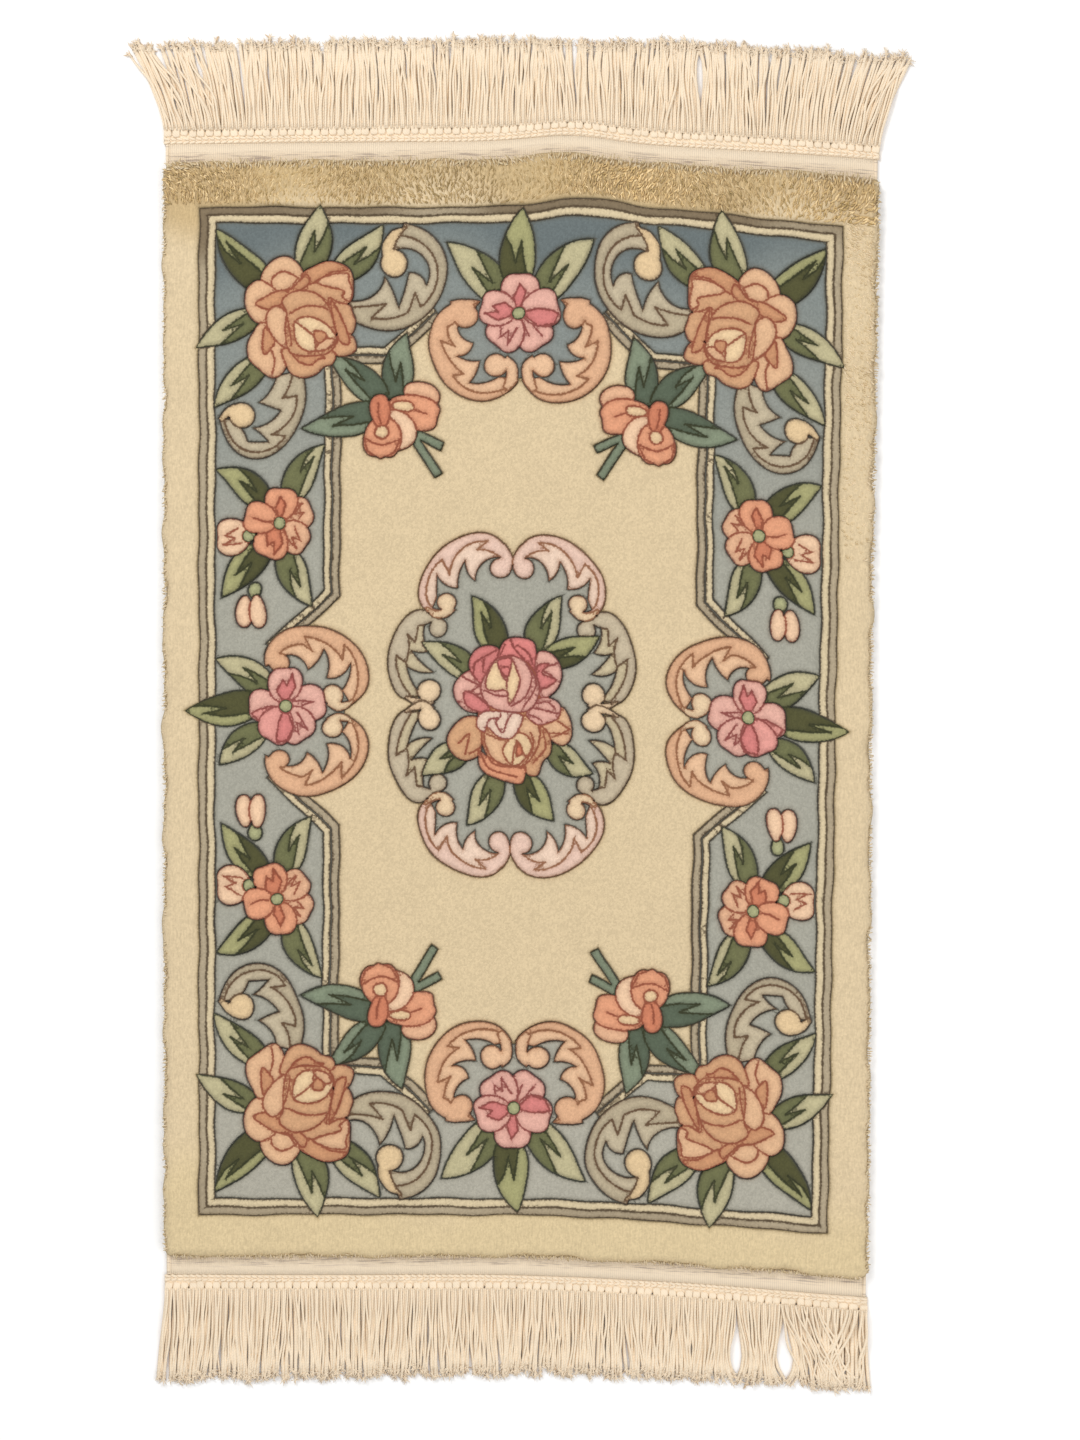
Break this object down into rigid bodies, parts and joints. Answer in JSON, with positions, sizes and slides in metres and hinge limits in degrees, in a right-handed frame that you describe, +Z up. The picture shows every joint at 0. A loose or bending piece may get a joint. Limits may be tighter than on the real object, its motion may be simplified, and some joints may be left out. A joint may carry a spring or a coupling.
{
  "type": "chinese rug",
  "caption": "Rectangular hand-knotted wool rug lying flat, with a carved floral border and centre in the pile and knotted cotton fringes at both ends.",
  "frame": {"origin": "middle of the whole rug, fringes and all, on the floor that it lies on", "axes": "+X across the rug's width, +Y along its length towards the far fringe, +Z up out of the pile"},
  "size_m": [0.6748, 1.1882, 0.0144],
  "materials": {
    "wool_pile": "hand-knotted and carved wool pile, cream ground with blue borders and pink, peach and green flowers",
    "cotton_fringe": "undyed plied cotton warp ends, twined and knotted, soft and matt"
  },
  "bodies": {
    "root": {"carved_rug": "wool_pile", "fringe_far": "cotton_fringe", "fringe_near": "cotton_fringe"}
  },
  "joints": []
}
